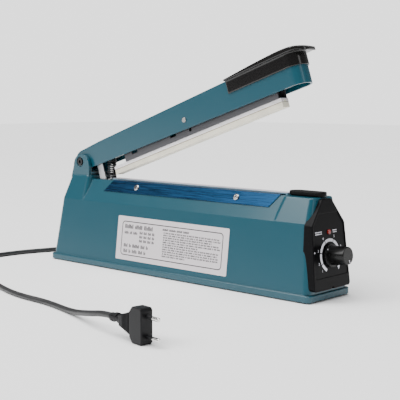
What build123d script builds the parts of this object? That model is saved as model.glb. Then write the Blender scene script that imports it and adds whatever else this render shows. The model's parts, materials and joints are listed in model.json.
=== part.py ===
"""Impulse heat sealer with a 300 mm jaw, stored open, as separate named pieces.

Millimetres. +X runs from the hinge end to the control panel, +Z is up, and the rating label is on
the -Y side. The origin is on the bench under the middle of the machine's length, knob included.
"""
import os
from math import atan2, cos, pi, radians, sin, tan

from build123d import *

os.makedirs("parts", exist_ok=True)

# ---------------------------------------------------------------- driving dimensions
overall_length = 474.7
base_length = 450.0
base_width = 81.0
foot_height = 2.0
plinth_bottom = 1.5
plinth_top = 9.0
plinth_step = 2.0
side_draft = 0.12           # inward lean of the long walls, mm per mm of height
front_draft = 0.075
wall = 2.5
shoulder_z = 87.0
deck_z = 115.6
deck_half = 15.0
rear_block_half = 20.8      # half widths of the two blocks at their tops
front_block_half = 20.0
rear_block_top = 120.5
corner_radius = 8.0

hinge_inset = 41.0          # hinge axis in front of the base's rear edge
hinge_z = 138.4
open_angle = 18.15          # the arm stands this far open at its stop
ear_inner = 15.2
ear_outer = 20.0
bolt_radius = 3.0
running_gap = 0.06          # of a pin in its hole, on the radius

arm_half = 14.5
arm_wall = 2.2
arm_nose = 392.0            # nose tip in front of the hinge axis
arm_tail_radius = 15.5
seal_start = 52.0           # jaw in front of the hinge axis
seal_length = 300.0
bar_travel = 13.0           # the press bar is pushed this far into the arm as the jaws close

cord_diameter = 6.2
plug_heading = -8.0         # degrees from +X, in plan

# ---------------------------------------------------------------- derived places
rear_x = -overall_length / 2
front_x = rear_x + base_length
mid_x = (rear_x + front_x) / 2
half_width = base_width / 2
hinge_x = rear_x + hinge_inset
rear_block_front = hinge_x + 21.0
front_block_rear = front_x - 64.5
seal_x = hinge_x + seal_start
wall_foot_y = half_width - plinth_step
shoulder_y = wall_foot_y - side_draft * (shoulder_z - plinth_top)
shoulder_lean = atan2(shoulder_y - deck_half, deck_z - shoulder_z)


def wall_y(z):
    """Outer face of a long wall at height z."""
    return wall_foot_y - side_draft * (z - plinth_top)


def rectangle_between(x0, x1, half, radius):
    """A rounded rectangle from x0 to x1, centred across the machine."""
    with Locations(((x0 + x1) / 2, 0)):
        RectangleRounded(x1 - x0, 2 * half, radius)


# Planes of the arm as it stands open: side view, and plan at a height above the hinge axis
tilt = radians(open_angle)
along_arm = Vector(cos(tilt), 0, sin(tilt))
above_arm = Vector(-sin(tilt), 0, cos(tilt))
hinge = Vector(hinge_x, 0, hinge_z)
arm_side = Plane(origin=hinge, x_dir=along_arm, z_dir=(0, -1, 0))


def arm_plan(height):
    return Plane(origin=hinge + above_arm * height, x_dir=along_arm, z_dir=above_arm)


# ================================================================ base
def add_tapered_block(z0, z1, lower, upper):
    """A loft between two rounded rectangles, each given as x0, x1, half width and radius."""
    with BuildSketch(Plane.XY.offset(z0)) as foot_outline:
        rectangle_between(*lower)
    with BuildSketch(Plane.XY.offset(z1)) as top_outline:
        rectangle_between(*upper)
    loft([foot_outline.sketch.face(), top_outline.sketch.face()])


def add_casing_volumes(inset, roof_drop):
    """Body, rear block, front block and bed of the casing, shrunk by inset on every side."""
    radius = corner_radius - inset
    roof_radius = radius - 2
    shoulder_half = shoulder_y - inset
    body_rear = rear_x + plinth_step + inset
    body_front = front_x - plinth_step - inset
    shoulder_rear = body_rear + side_draft * (shoulder_z - plinth_top)
    shoulder_front = body_front - front_draft * (shoulder_z - plinth_top)
    low, mid = plinth_top, shoulder_z - roof_drop
    add_tapered_block(
        low, mid,
        (body_rear, body_front, wall_foot_y - inset, radius),
        (shoulder_rear, shoulder_front, shoulder_half, radius),
    )
    # rear block, which carries the ears
    add_tapered_block(
        mid, rear_block_top - roof_drop,
        (shoulder_rear, rear_block_front - inset, shoulder_half, radius),
        (rear_x + 23.2 + inset, rear_block_front - inset, rear_block_half - inset, roof_radius),
    )
    # front block, behind the control panel
    add_tapered_block(
        mid, deck_z - roof_drop,
        (front_block_rear + inset, shoulder_front, shoulder_half, radius),
        (front_block_rear + 11.5 + inset, front_x - 10.5 - inset, front_block_half - inset, roof_radius),
    )
    # bed between the blocks
    bed_start = rear_block_front - 5
    with BuildSketch(Plane.YZ.offset(bed_start)) as bed_outline:
        with BuildLine():
            Polyline(
                (-shoulder_half, mid),
                (-deck_half + inset, deck_z - roof_drop),
                (deck_half - inset, deck_z - roof_drop),
                (shoulder_half, mid),
                close=True,
            )
        make_face()
    extrude(bed_outline.sketch, amount=front_block_rear + 12 - bed_start)


with BuildPart() as casing_outside:
    with BuildSketch(Plane.XY.offset(plinth_bottom)):
        rectangle_between(rear_x, front_x, half_width, 5)
    extrude(amount=plinth_top - plinth_bottom)
    top_rim = casing_outside.faces().sort_by(Axis.Z)[-1].edges()
    chamfer(top_rim, 0.8)
    add_casing_volumes(0, 0)
    rear_top = casing_outside.edges().filter_by_position(Axis.Z, rear_block_top - 0.1, rear_block_top + 0.1)
    fillet(rear_top, 1.8)
    deck_edges = casing_outside.edges().filter_by_position(Axis.Z, deck_z - 0.1, deck_z + 0.1)
    fillet(deck_edges.filter_by_position(Axis.X, front_block_rear + 11, front_x), 1.8)

with BuildPart() as casing_inside:
    with BuildSketch(Plane.XY.offset(plinth_bottom)):
        rectangle_between(rear_x + wall, front_x - wall, half_width - wall, 3)
    extrude(amount=plinth_top - plinth_bottom)
    add_casing_volumes(wall, wall)

# the tongue's slot in the deck, swept by the tongue from open to closed
tongue_near, tongue_far = -10.3, -8.3
tongue_start, tongue_end, tongue_drop = 23.0, 34.0, 45.0
slot_x0, slot_x1 = hinge_x + tongue_start - 1.2, hinge_x + tongue_end + 11.4
strip_screw_x = (mid_x - 70.0, mid_x + 102.0)
strip_screw_share = 0.76    # height of the cover screws between shoulder and deck
gland_x, gland_z, gland_radius = hinge_x + 36.0, 20.0, 5.0
foot_pitch_x, foot_pitch_y = 356.0, 52.0
post_pitch_x, post_pitch_y = 384.0, 64.0


def slope_plane(x, share, side):
    """A plane on the bed's sloping flank, facing outwards, at a share of its height."""
    y = shoulder_y + (deck_half - shoulder_y) * share
    z = shoulder_z + (deck_z - shoulder_z) * share
    normal = (0, side * cos(shoulder_lean), sin(shoulder_lean))
    return Plane(origin=(x, side * y, z), x_dir=(1, 0, 0), z_dir=normal)


with BuildPart() as base_casing:
    add(casing_outside.part)
    add(casing_inside.part, mode=Mode.SUBTRACT)
    # ears for the hinge bolt
    with BuildSketch(Plane.XZ.offset(ear_inner)) as ear_outline:
        with BuildLine():
            Polyline(
                (hinge_x + 19, 133),
                (hinge_x + 19, rear_block_top - 4),
                (hinge_x - 18.5, rear_block_top - 4),
                (hinge_x - 13, 133),
            )
            ThreePointArc((hinge_x - 13, 133), (hinge_x + 3, 149), (hinge_x + 19, 133))
        make_face()
    extrude(amount=ear_outer - ear_inner)
    mirror(about=Plane.XZ)
    # hinge bolt hole and its recesses
    with BuildSketch(Plane.XZ.offset(-half_width)):
        with Locations((hinge_x, hinge_z)):
            Circle(bolt_radius + 0.02)
    extrude(amount=base_width, mode=Mode.SUBTRACT)
    for side in (-1, 1):
        with BuildSketch(Plane.XZ.offset(side * (ear_outer - 2.4))):
            with Locations((hinge_x, hinge_z)):
                Circle(7)
        extrude(amount=side * 10, mode=Mode.SUBTRACT)
    # tongue slot in the deck
    with BuildSketch(Plane.XY.offset(deck_z - 8)):
        with Locations(((slot_x0 + slot_x1) / 2, (tongue_near + tongue_far) / 2)):
            Rectangle(slot_x1 - slot_x0, 4.4)
    extrude(amount=20, mode=Mode.SUBTRACT)
    # slots that let the heating ribbon's ends down to their terminals
    with BuildSketch(Plane.XY.offset(deck_z - 8)):
        with Locations((seal_x + 4, 0), (seal_x + seal_length - 4, 0)):
            Rectangle(3, 7)
    extrude(amount=20, mode=Mode.SUBTRACT)
    # holes of the cover strips' screws
    for side in (-1, 1):
        for x in strip_screw_x:
            with BuildSketch(slope_plane(x, strip_screw_share, side)):
                Circle(1.55)
            extrude(amount=-12, mode=Mode.SUBTRACT)
    # window behind the control panel, for the timer's spindle and the indicator
    with BuildSketch(Plane.YZ.offset(front_x - 20)):
        with Locations((0, 58)):
            RectangleRounded(36, 58, 3)
    extrude(amount=25, mode=Mode.SUBTRACT)
    # cord outlet in the far wall
    with BuildSketch(Plane.XZ.offset(-half_width)):
        with Locations((gland_x, gland_z)):
            Circle(gland_radius)
    extrude(amount=15, mode=Mode.SUBTRACT)
    # screw posts, joined to the walls
    with BuildSketch(Plane.XY.offset(plinth_bottom + 2)):
        with Locations((mid_x, 0)):
            with GridLocations(post_pitch_x, post_pitch_y, 2, 2):
                Circle(5)
    extrude(amount=18)
    with BuildSketch(Plane.XY.offset(plinth_bottom)):
        with Locations((mid_x, 0)):
            with GridLocations(post_pitch_x, post_pitch_y, 2, 2):
                Circle(1.55)
    extrude(amount=14, mode=Mode.SUBTRACT)
base_casing.part.label = "base_casing"
export_step(base_casing.part, "parts/base_casing.step")

plate_z = plinth_bottom + 0.5
plate_thickness = 1.2
with BuildPart() as bottom_plate:
    with BuildSketch(Plane.XY.offset(plate_z)):
        rectangle_between(rear_x + wall + 0.2, front_x - wall - 0.2, half_width - wall - 0.2, 2.8)
        with Locations((mid_x, 0)):
            with GridLocations(post_pitch_x, post_pitch_y, 2, 2):
                Circle(1.6, mode=Mode.SUBTRACT)
    extrude(amount=plate_thickness)
bottom_plate.part.label = "bottom_plate"
export_step(bottom_plate.part, "parts/bottom_plate.step")

with BuildPart() as rubber_feet:
    with BuildSketch(Plane.XY):
        with Locations((mid_x, 0)):
            with GridLocations(foot_pitch_x, foot_pitch_y, 2, 2):
                Circle(9)
    extrude(amount=foot_height)
rubber_feet.part.label = "rubber_feet"
export_step(rubber_feet.part, "parts/rubber_feet.step")

with BuildPart() as bottom_screws:
    with BuildSketch(Plane.XY.offset(plate_z - 1.6)):
        with Locations((mid_x, 0)):
            with GridLocations(post_pitch_x, post_pitch_y, 2, 2):
                Circle(3)
    extrude(amount=1.6)
    with BuildSketch(Plane.XY.offset(plate_z)):
        with Locations((mid_x, 0)):
            with GridLocations(post_pitch_x, post_pitch_y, 2, 2):
                Circle(1.5)
    extrude(amount=10)
bottom_screws.part.label = "bottom_screws"
export_step(bottom_screws.part, "parts/bottom_screws.step")

# ---------------------------------------------------------------- sealing bed
strip_thickness = 1.0
flange_inner = 6.0
strip_x0, strip_x1 = seal_x, seal_x + seal_length - 2.5
end_slant = 13.5
bar_height = 1.6
ribbon_thickness = 0.3
cloth_thickness = 0.3

with BuildPart() as insulator_bar:
    with BuildSketch(Plane.XY.offset(deck_z)):
        with Locations((seal_x + seal_length / 2, 0)):
            Rectangle(seal_length, 2 * flange_inner - 0.4)
        with Locations((seal_x + 4, 0), (seal_x + seal_length - 4, 0)):
            Rectangle(2.4, 6, mode=Mode.SUBTRACT)
    extrude(amount=bar_height)
insulator_bar.part.label = "insulator_bar"
export_step(insulator_bar.part, "parts/insulator_bar.step")

ribbon_z = deck_z + bar_height
with BuildPart() as heating_ribbon:
    with BuildSketch(Plane.XZ.offset(-2.5)):
        with BuildLine():
            x0, x1 = seal_x + 4.0, seal_x + seal_length - 4.0
            top = ribbon_z + ribbon_thickness
            Polyline(
                (x0 - 0.15, deck_z - 12), (x0 - 0.15, top), (x1 + 0.15, top), (x1 + 0.15, deck_z - 12),
                (x1 - 0.15, deck_z - 12), (x1 - 0.15, ribbon_z), (x0 + 0.15, ribbon_z),
                (x0 + 0.15, deck_z - 12), close=True,
            )
        make_face()
    extrude(amount=5)
heating_ribbon.part.label = "heating_ribbon"
export_step(heating_ribbon.part, "parts/heating_ribbon.step")

with BuildPart() as nonstick_cloth:
    with BuildSketch(Plane.XY.offset(ribbon_z + ribbon_thickness)):
        with Locations((seal_x + seal_length / 2, 0)):
            Rectangle(seal_length - 1, 2 * flange_inner - 0.6)
    extrude(amount=cloth_thickness)
nonstick_cloth.part.label = "nonstick_cloth"
export_step(nonstick_cloth.part, "parts/nonstick_cloth.step")

with BuildPart() as ribbon_terminals:
    with BuildSketch(Plane.XY.offset(deck_z - 14)):
        with Locations((seal_x + 4 + 3.2, 0), (seal_x + seal_length - 4 - 3.2, 0)):
            Rectangle(6, 8)
    extrude(amount=14 - wall)
ribbon_terminals.part.label = "ribbon_terminals"
export_step(ribbon_terminals.part, "parts/ribbon_terminals.step")


def add_cover_strip(side):
    """A bent strip that lies on one flank of the bed and holds the cloth's edge on the deck."""
    lower = slope_plane(0, 0.5, side).origin
    out_y = side * strip_thickness * cos(shoulder_lean)
    out_z = strip_thickness * sin(shoulder_lean)
    lip = strip_thickness * (1 - sin(shoulder_lean)) / cos(shoulder_lean)
    with BuildSketch(Plane.YZ.offset(strip_x0)) as section:
        with BuildLine():
            Polyline(
                (lower.Y, lower.Z),
                (side * deck_half, deck_z),
                (side * flange_inner, deck_z),
                (side * flange_inner, deck_z + strip_thickness),
                (side * (deck_half + lip), deck_z + strip_thickness),
                (lower.Y + out_y, lower.Z + out_z),
                close=True,
            )
        make_face()
    extrude(section.sketch, amount=strip_x1 - strip_x0)
    # both ends slant forwards as they rise
    low, high = lower.Z - strip_thickness, deck_z + strip_thickness
    with BuildSketch(Plane.XZ) as end_cuts:
        with BuildLine():
            Polyline((strip_x0, low), (strip_x0, high), (strip_x0 + end_slant, high), close=True)
        make_face()
        with BuildLine():
            Polyline((strip_x1 - end_slant, low), (strip_x1, low), (strip_x1, high), close=True)
        make_face()
    extrude(end_cuts.sketch, amount=-side * 40, mode=Mode.SUBTRACT)
    for x in strip_screw_x:
        with BuildSketch(slope_plane(x, strip_screw_share, side)) as hole:
            Circle(1.6)
        extrude(hole.sketch, amount=5, both=True, mode=Mode.SUBTRACT)


with BuildPart() as near_cover_strip:
    add_cover_strip(-1)
near_cover_strip.part.label = "near_cover_strip"
export_step(near_cover_strip.part, "parts/near_cover_strip.step")

with BuildPart() as far_cover_strip:
    add_cover_strip(1)
far_cover_strip.part.label = "far_cover_strip"
export_step(far_cover_strip.part, "parts/far_cover_strip.step")

with BuildPart() as cover_screws:
    for side in (-1, 1):
        for x in strip_screw_x:
            seat = slope_plane(x, strip_screw_share, side)
            with BuildSketch(seat.offset(strip_thickness)):
                Circle(4)
            extrude(amount=1.2)
            with BuildSketch(seat.offset(strip_thickness + 1.2)):
                Circle(4)
            extrude(amount=1.0, taper=50)
            with BuildSketch(seat.offset(strip_thickness)):
                Circle(1.5)
            extrude(amount=-8)
cover_screws.part.label = "cover_screws"
export_step(cover_screws.part, "parts/cover_screws.step")

pad_x0, pad_x1 = seal_x + seal_length + 0.8, front_x - 8.2
pad_top = 121.2
with BuildPart() as landing_pad:
    with BuildSketch(Plane.XY.offset(deck_z)):
        with Locations(((pad_x0 + pad_x1) / 2, 0)):
            RectangleRounded(pad_x1 - pad_x0 - 4, 15, 7)
    extrude(amount=1.6)
    with BuildSketch(Plane.XY.offset(deck_z + 1.6)):
        with Locations(((pad_x0 + pad_x1) / 2, 0)):
            RectangleRounded(pad_x1 - pad_x0, 19, 9.4)
    extrude(amount=pad_top - deck_z - 1.6)
    fillet(landing_pad.faces().sort_by(Axis.Z)[-1].edges(), 1.3)
landing_pad.part.label = "landing_pad"
export_step(landing_pad.part, "parts/landing_pad.step")

# ---------------------------------------------------------------- control panel
panel_lean = atan2(0.1, 1)
panel_foot_x = front_x + 5.4      # front face at bench level
panel_low, panel_shoulder, panel_high = 13.0, 86.0, 114.0
panel_sheet = 2.4
recess = 0.8
panel_back_x = front_x - 14.0
knob_z, lens_z = 50.5, 77.0


def panel_plane(z, depth=0.0):
    """The panel's front face with its origin at height z, moved inwards by depth."""
    out = Vector(cos(panel_lean), 0, sin(panel_lean))
    face_point = Vector(panel_foot_x - z * tan(panel_lean), 0, z)
    return Plane(origin=face_point - out * depth, x_dir=(0, 1, 0), z_dir=out)


def panel_half(z):
    """Half width of the panel's outline at height z."""
    if z <= panel_shoulder:
        return 35 - 3.7 * (z - panel_low) / (panel_shoulder - panel_low)
    return 31.3 - 22.3 * (z - panel_shoulder) / (panel_high - panel_shoulder)


def panel_outline(plane, low, high, margin, radius):
    """The panel's outline between two heights, narrowed by margin, as a rounded polygon."""
    heights = (low, panel_shoulder - margin / 2, high)
    right = [(panel_half(z) - margin, z) for z in heights]
    with BuildSketch(plane) as outline:
        with BuildLine():
            Polyline(*right, *[(-y, z) for y, z in reversed(right)], close=True)
        make_face()
        fillet(outline.vertices(), radius)
    return outline.sketch


panel_back = Plane.YZ.offset(panel_back_x)
with BuildPart() as panel_hollow:
    extrude(panel_outline(panel_back, panel_low + 2, panel_high - 2, 2.0, 3), amount=30)
    split(bisect_by=panel_plane(0, panel_sheet), keep=Keep.BOTTOM)

with BuildPart() as front_panel:
    extrude(panel_outline(panel_back, panel_low, panel_high, 0, 4), amount=30)
    split(bisect_by=panel_plane(0), keep=Keep.BOTTOM)
    fillet(front_panel.faces().sort_by(Axis.X)[-1].edges(), 0.8)
    add(panel_hollow.part, mode=Mode.SUBTRACT)
    add(casing_outside.part, mode=Mode.SUBTRACT)
    # recessed field between the foot ledge and the brow
    field = panel_outline(panel_plane(0), 27, 99, 2.4, 2.5)
    extrude(field, amount=-recess, mode=Mode.SUBTRACT)
    # holes for the timer's bush and the indicator, and the notch at the foot
    with BuildSketch(panel_plane(knob_z)):
        Circle(3.55)
    extrude(amount=-8, mode=Mode.SUBTRACT)
    with BuildSketch(panel_plane(lens_z)):
        Circle(2.9)
    extrude(amount=-8, mode=Mode.SUBTRACT)
    with BuildSketch(Plane.YZ.offset(panel_back_x)):
        with Locations((0, panel_low)):
            Circle(2.6)
    extrude(amount=30, mode=Mode.SUBTRACT)
front_panel.part.label = "front_panel"
export_step(front_panel.part, "parts/front_panel.step")

with BuildPart() as indicator_lens:
    with BuildSketch(panel_plane(lens_z, panel_sheet)):
        Circle(3.8)
    extrude(amount=-1.5)
    with BuildSketch(panel_plane(lens_z, panel_sheet)):
        Circle(2.85)
    extrude(amount=panel_sheet + 1.0)
    fillet(indicator_lens.faces().sort_by(Axis.X)[-1].edges(), 0.9)
indicator_lens.part.label = "indicator_lens"
export_step(indicator_lens.part, "parts/indicator_lens.step")

shaft_radius, bush_radius = 2.0, 3.5
with BuildPart() as timer_pot:
    with BuildSketch(panel_plane(knob_z, panel_sheet + 9)):
        Circle(8.5)
    extrude(amount=9)
    with BuildSketch(panel_plane(knob_z, panel_sheet)):
        Circle(bush_radius)
    extrude(amount=panel_sheet + 2.6)
    with BuildSketch(panel_plane(knob_z, panel_sheet + 6)):
        Circle(shaft_radius + running_gap)
    extrude(amount=20, mode=Mode.SUBTRACT)
timer_pot.part.label = "timer_pot"
export_step(timer_pot.part, "parts/timer_pot.step")

with BuildPart() as pot_nut:
    with BuildSketch(panel_plane(knob_z, recess)):
        RegularPolygon(5.5, 6)
        Circle(bush_radius, mode=Mode.SUBTRACT)
    extrude(amount=2)
pot_nut.part.label = "pot_nut"
export_step(pot_nut.part, "parts/pot_nut.step")

with BuildPart() as timer_shaft:
    with BuildSketch(panel_plane(knob_z, panel_sheet + 5.5)):
        Circle(shaft_radius)
    extrude(amount=panel_sheet + 5.5 + 14)
timer_shaft.part.label = "timer_shaft"
export_step(timer_shaft.part, "parts/timer_shaft.step")

knob_reach = 23.6
with BuildPart() as timer_knob:
    with BuildSketch(panel_plane(knob_z, -0.3)):
        Circle(13)
    extrude(amount=3)
    with BuildSketch(panel_plane(knob_z, -3.3)):
        Circle(11.2)
    extrude(amount=knob_reach - 3.3, taper=3.4)
    fillet(timer_knob.faces().sort_by(Axis.X)[-1].edges(), 0.8)
    with BuildSketch(panel_plane(knob_z)):
        Circle(6.6)
    extrude(amount=4, mode=Mode.SUBTRACT)
    with BuildSketch(panel_plane(knob_z)):
        Circle(shaft_radius)
    extrude(amount=14, mode=Mode.SUBTRACT)
timer_knob.part.label = "timer_knob"
export_step(timer_knob.part, "parts/timer_knob.step")

# ---------------------------------------------------------------- works inside the base
floor_z = plate_z + plate_thickness
board_x, board_z = front_x - 46.0, floor_z + 7
with BuildPart() as timer_board:
    with BuildSketch(Plane.XY.offset(floor_z)):
        with Locations((board_x, 0)):
            with GridLocations(42, 34, 2, 2):
                Circle(2.5)
    extrude(amount=board_z - floor_z)
    with BuildSketch(Plane.XY.offset(board_z)):
        with Locations((board_x, 0)):
            Rectangle(52, 44)
    extrude(amount=1.6)
    # relay, capacitor, regulator and connector
    for x, y, length, width, height in (
        (-12, 8, 19, 15, 16), (14, 10, 11, 11, 14), (10, -10, 5, 10, 15), (-14, -13, 18, 8, 9),
    ):
        with BuildSketch(Plane.XY.offset(board_z + 1.6)):
            with Locations((board_x + x, y)):
                Rectangle(length, width)
        extrude(amount=height)
timer_board.part.label = "timer_board"
export_step(timer_board.part, "parts/timer_board.step")

core_x, core_length, core_height, core_half = mid_x + 104.0, 65.0, 55.0, 18.0
leg, window_width = 10.0, 12.5
with BuildPart() as transformer_core:
    with BuildSketch(Plane.XZ.offset(-core_half)):
        with Locations((core_x, floor_z + core_height / 2)):
            Rectangle(core_length, core_height)
            with GridLocations(2 * leg + window_width, 1, 2, 1):
                Rectangle(window_width, core_height - 2 * leg, mode=Mode.SUBTRACT)
    extrude(amount=2 * core_half)
transformer_core.part.label = "transformer_core"
export_step(transformer_core.part, "parts/transformer_core.step")

with BuildPart() as transformer_coil:
    with BuildSketch(Plane.XY.offset(floor_z + leg + 0.5)):
        with Locations((core_x, 0)):
            RectangleRounded(2 * leg + 2 * window_width - 1, 56, 4)
            Rectangle(2 * leg + 0.4, 2 * core_half + 0.4, mode=Mode.SUBTRACT)
    extrude(amount=core_height - 2 * leg - 1)
transformer_coil.part.label = "transformer_coil"
export_step(transformer_coil.part, "parts/transformer_coil.step")

switch_x, switch_y, switch_top = hinge_x + 28.5, (tongue_near + tongue_far) / 2, 90.0
switch_back = switch_y - 4.5
plunger_radius = 1.2
with BuildPart() as micro_switch:
    with BuildSketch(Plane.XZ.offset(-switch_back - 9)):
        with Locations((switch_x, switch_top - 6)):
            Rectangle(19.5, 12)
            with GridLocations(9.5, 1, 2, 1):
                Circle(1.1, mode=Mode.SUBTRACT)
    extrude(amount=9)
    with BuildSketch(Plane.XY.offset(switch_top - 5)):
        with Locations((switch_x, switch_y)):
            Circle(plunger_radius + running_gap)
    extrude(amount=6, mode=Mode.SUBTRACT)
micro_switch.part.label = "micro_switch"
export_step(micro_switch.part, "parts/micro_switch.step")

plunger_travel = 1.2
plunger_top = hinge_z - tongue_drop + plunger_travel - 0.3
with BuildPart() as switch_plunger:
    with BuildSketch(Plane.XY.offset(switch_top - 3.5)):
        with Locations((switch_x, switch_y)):
            Circle(plunger_radius)
    extrude(amount=plunger_top - switch_top + 3.5)
switch_plunger.part.label = "switch_plunger"
export_step(switch_plunger.part, "parts/switch_plunger.step")

with BuildPart() as switch_bracket:
    with BuildSketch(Plane.YZ.offset(switch_x - 10)):
        with BuildLine():
            Polyline(
                (switch_back, switch_top), (switch_back, floor_z), (switch_back - 14, floor_z),
                (switch_back - 14, floor_z + 1.5), (switch_back - 1.5, floor_z + 1.5),
                (switch_back - 1.5, switch_top), close=True,
            )
        make_face()
    extrude(amount=20)
    with BuildSketch(Plane.XZ.offset(-switch_back - 1)):
        with Locations((switch_x, switch_top - 6)):
            with GridLocations(9.5, 1, 2, 1):
                Circle(1.1)
    extrude(amount=4, mode=Mode.SUBTRACT)
switch_bracket.part.label = "switch_bracket"
export_step(switch_bracket.part, "parts/switch_bracket.step")

# ---------------------------------------------------------------- rating label
wall_lean = atan2(side_draft, 1)
label_z = 43.9
with BuildPart() as rating_label:
    near_wall = Plane(
        origin=(mid_x + 4.7, -wall_y(label_z), label_z),
        x_dir=(1, 0, 0),
        z_dir=(0, -cos(wall_lean), sin(wall_lean)),
    )
    with BuildSketch(near_wall):
        RectangleRounded(194.4, 57.2, 2)
    extrude(amount=0.3)
rating_label.part.label = "rating_label"
export_step(rating_label.part, "parts/rating_label.step")

# ================================================================ hinge
hinge_end = Plane.XZ.shift_origin((hinge_x, 0, hinge_z))


def hinge_circle(radius, y):
    """A circle round the hinge axis at y, to be extruded towards -Y."""
    with BuildSketch(hinge_end.offset(-y)) as circle:
        Circle(radius)
    return circle.sketch


seat_y = ear_outer - 2.4
with BuildPart() as hinge_bolt:
    extrude(hinge_circle(bolt_radius, ear_outer + 0.4), amount=ear_outer + 0.4 + seat_y)
    extrude(hinge_circle(4.9, -seat_y), amount=2.7)
    with BuildSketch(hinge_end.offset(seat_y + 2.7)):
        RegularPolygon(2.5, 6)
    extrude(amount=-2, mode=Mode.SUBTRACT)
hinge_bolt.part.label = "hinge_bolt"
export_step(hinge_bolt.part, "parts/hinge_bolt.step")

with BuildPart() as hinge_nut:
    with BuildSketch(hinge_end.offset(-seat_y)):
        RegularPolygon(5.6, 6)
        Circle(bolt_radius, mode=Mode.SUBTRACT)
    extrude(amount=-2.6)
hinge_nut.part.label = "hinge_nut"
export_step(hinge_nut.part, "parts/hinge_nut.step")

with BuildPart() as hinge_washers:
    for side in (-1, 1):
        with BuildSketch(hinge_end.offset(side * ear_inner)):
            Circle(8)
            Circle(bolt_radius + 0.1, mode=Mode.SUBTRACT)
        extrude(amount=-side * (ear_inner - arm_half - 0.1))
hinge_washers.part.label = "hinge_washers"
export_step(hinge_washers.part, "parts/hinge_washers.step")

spring_x = hinge_x + 44.0
spring_foot, spring_length = deck_z + 1.0, 49.6
with BuildPart() as spring_seat:
    with BuildSketch(Plane.XY.offset(deck_z)):
        with Locations((spring_x, 0)):
            Circle(7)
    extrude(amount=spring_foot - deck_z)
    with BuildSketch(Plane.XY.offset(spring_foot)):
        with Locations((spring_x, 0)):
            Circle(4)
    extrude(amount=6)
spring_seat.part.label = "spring_seat"
export_step(spring_seat.part, "parts/spring_seat.step")

with BuildPart() as return_spring:
    with BuildSketch(Plane.XY.offset(spring_foot)):
        with Locations((spring_x, 0)):
            Circle(6.8)
            Circle(5, mode=Mode.SUBTRACT)
    extrude(amount=spring_length)
return_spring.part.label = "return_spring"
export_step(return_spring.part, "parts/return_spring.step")

# ================================================================ arm
def bottom_edge(x):
    """Height of the arm's lower edge above the hinge axis, x in front of it."""
    return -12.4 - 0.0115 * x


nose_centre = arm_nose - arm_half


def add_arm_body(inset, depth_below):
    """The arm's rounded channel in the arm's own axes, shrunk by inset, reaching lower by depth_below."""
    half, tail = arm_half - inset, arm_tail_radius - inset
    with BuildSketch(arm_side) as profile:
        with BuildLine():
            Polyline(
                (0, tail), (40, 17.3 - inset), (arm_nose, 22.3 - inset),
                (arm_nose, bottom_edge(arm_nose) - depth_below), (8, bottom_edge(8) - depth_below),
                (0, -tail / 2), close=True,
            )
        make_face()
        Circle(tail)
    extrude(profile.sketch, amount=half, both=True)
    with BuildSketch(arm_plan(-40)) as plan:
        with Locations((nose_centre / 2 - 20, 0)):
            Rectangle(nose_centre + 40, 2 * half)
        with Locations((nose_centre, 0)):
            Circle(half)
    extrude(plan.sketch, amount=80, mode=Mode.INTERSECT)


with BuildPart() as arm_outside:
    add_arm_body(0, 0)
    upper_edges = arm_outside.edges().filter_by_position(
        Axis(hinge, above_arm), 16.0, 30.0
    )
    fillet(upper_edges, 1.6)

with BuildPart() as arm_inside:
    add_arm_body(arm_wall, 12)

bar_pin_x, bar_pin_height, pin_radius = 205.0, -3.1, 2.0


def arm_circle(x, height, radius, y):
    """A circle beside the arm, x in front of the hinge, on a plane at y, facing -Y."""
    with BuildSketch(Plane(origin=arm_side.from_local_coords((x, height, -y)),
                           x_dir=along_arm, z_dir=(0, -1, 0))) as circle:
        Circle(radius)
    return circle.sketch


with BuildPart() as arm_cover:
    add(arm_outside.part)
    add(arm_inside.part, mode=Mode.SUBTRACT)
    hinge_hole = arm_circle(0, 0, bolt_radius + running_gap, arm_half + 1)
    extrude(hinge_hole, amount=2 * arm_half + 2, mode=Mode.SUBTRACT)
    pin_hole = arm_circle(bar_pin_x, bar_pin_height, pin_radius, arm_half + 1)
    extrude(pin_hole, amount=2 * arm_half + 2, mode=Mode.SUBTRACT)
arm_cover.part.label = "arm_cover"
export_step(arm_cover.part, "parts/arm_cover.step")

with BuildPart() as pivot_sleeve:
    sleeve_half = arm_half - arm_wall
    extrude(arm_circle(0, 0, 5, sleeve_half), amount=2 * sleeve_half)
    bore = arm_circle(0, 0, bolt_radius + running_gap, sleeve_half)
    extrude(bore, amount=2 * sleeve_half, mode=Mode.SUBTRACT)
pivot_sleeve.part.label = "pivot_sleeve"
export_step(pivot_sleeve.part, "parts/pivot_sleeve.step")

with BuildPart() as bar_pin:
    extrude(arm_circle(bar_pin_x, bar_pin_height, pin_radius, arm_half), amount=2 * arm_half)
    extrude(arm_circle(bar_pin_x, bar_pin_height, 3.2, arm_half + 1.2), amount=1.2)
    extrude(arm_circle(bar_pin_x, bar_pin_height, 3.2, -arm_half), amount=1.2)
bar_pin.part.label = "bar_pin"
export_step(bar_pin.part, "parts/bar_pin.step")

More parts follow.
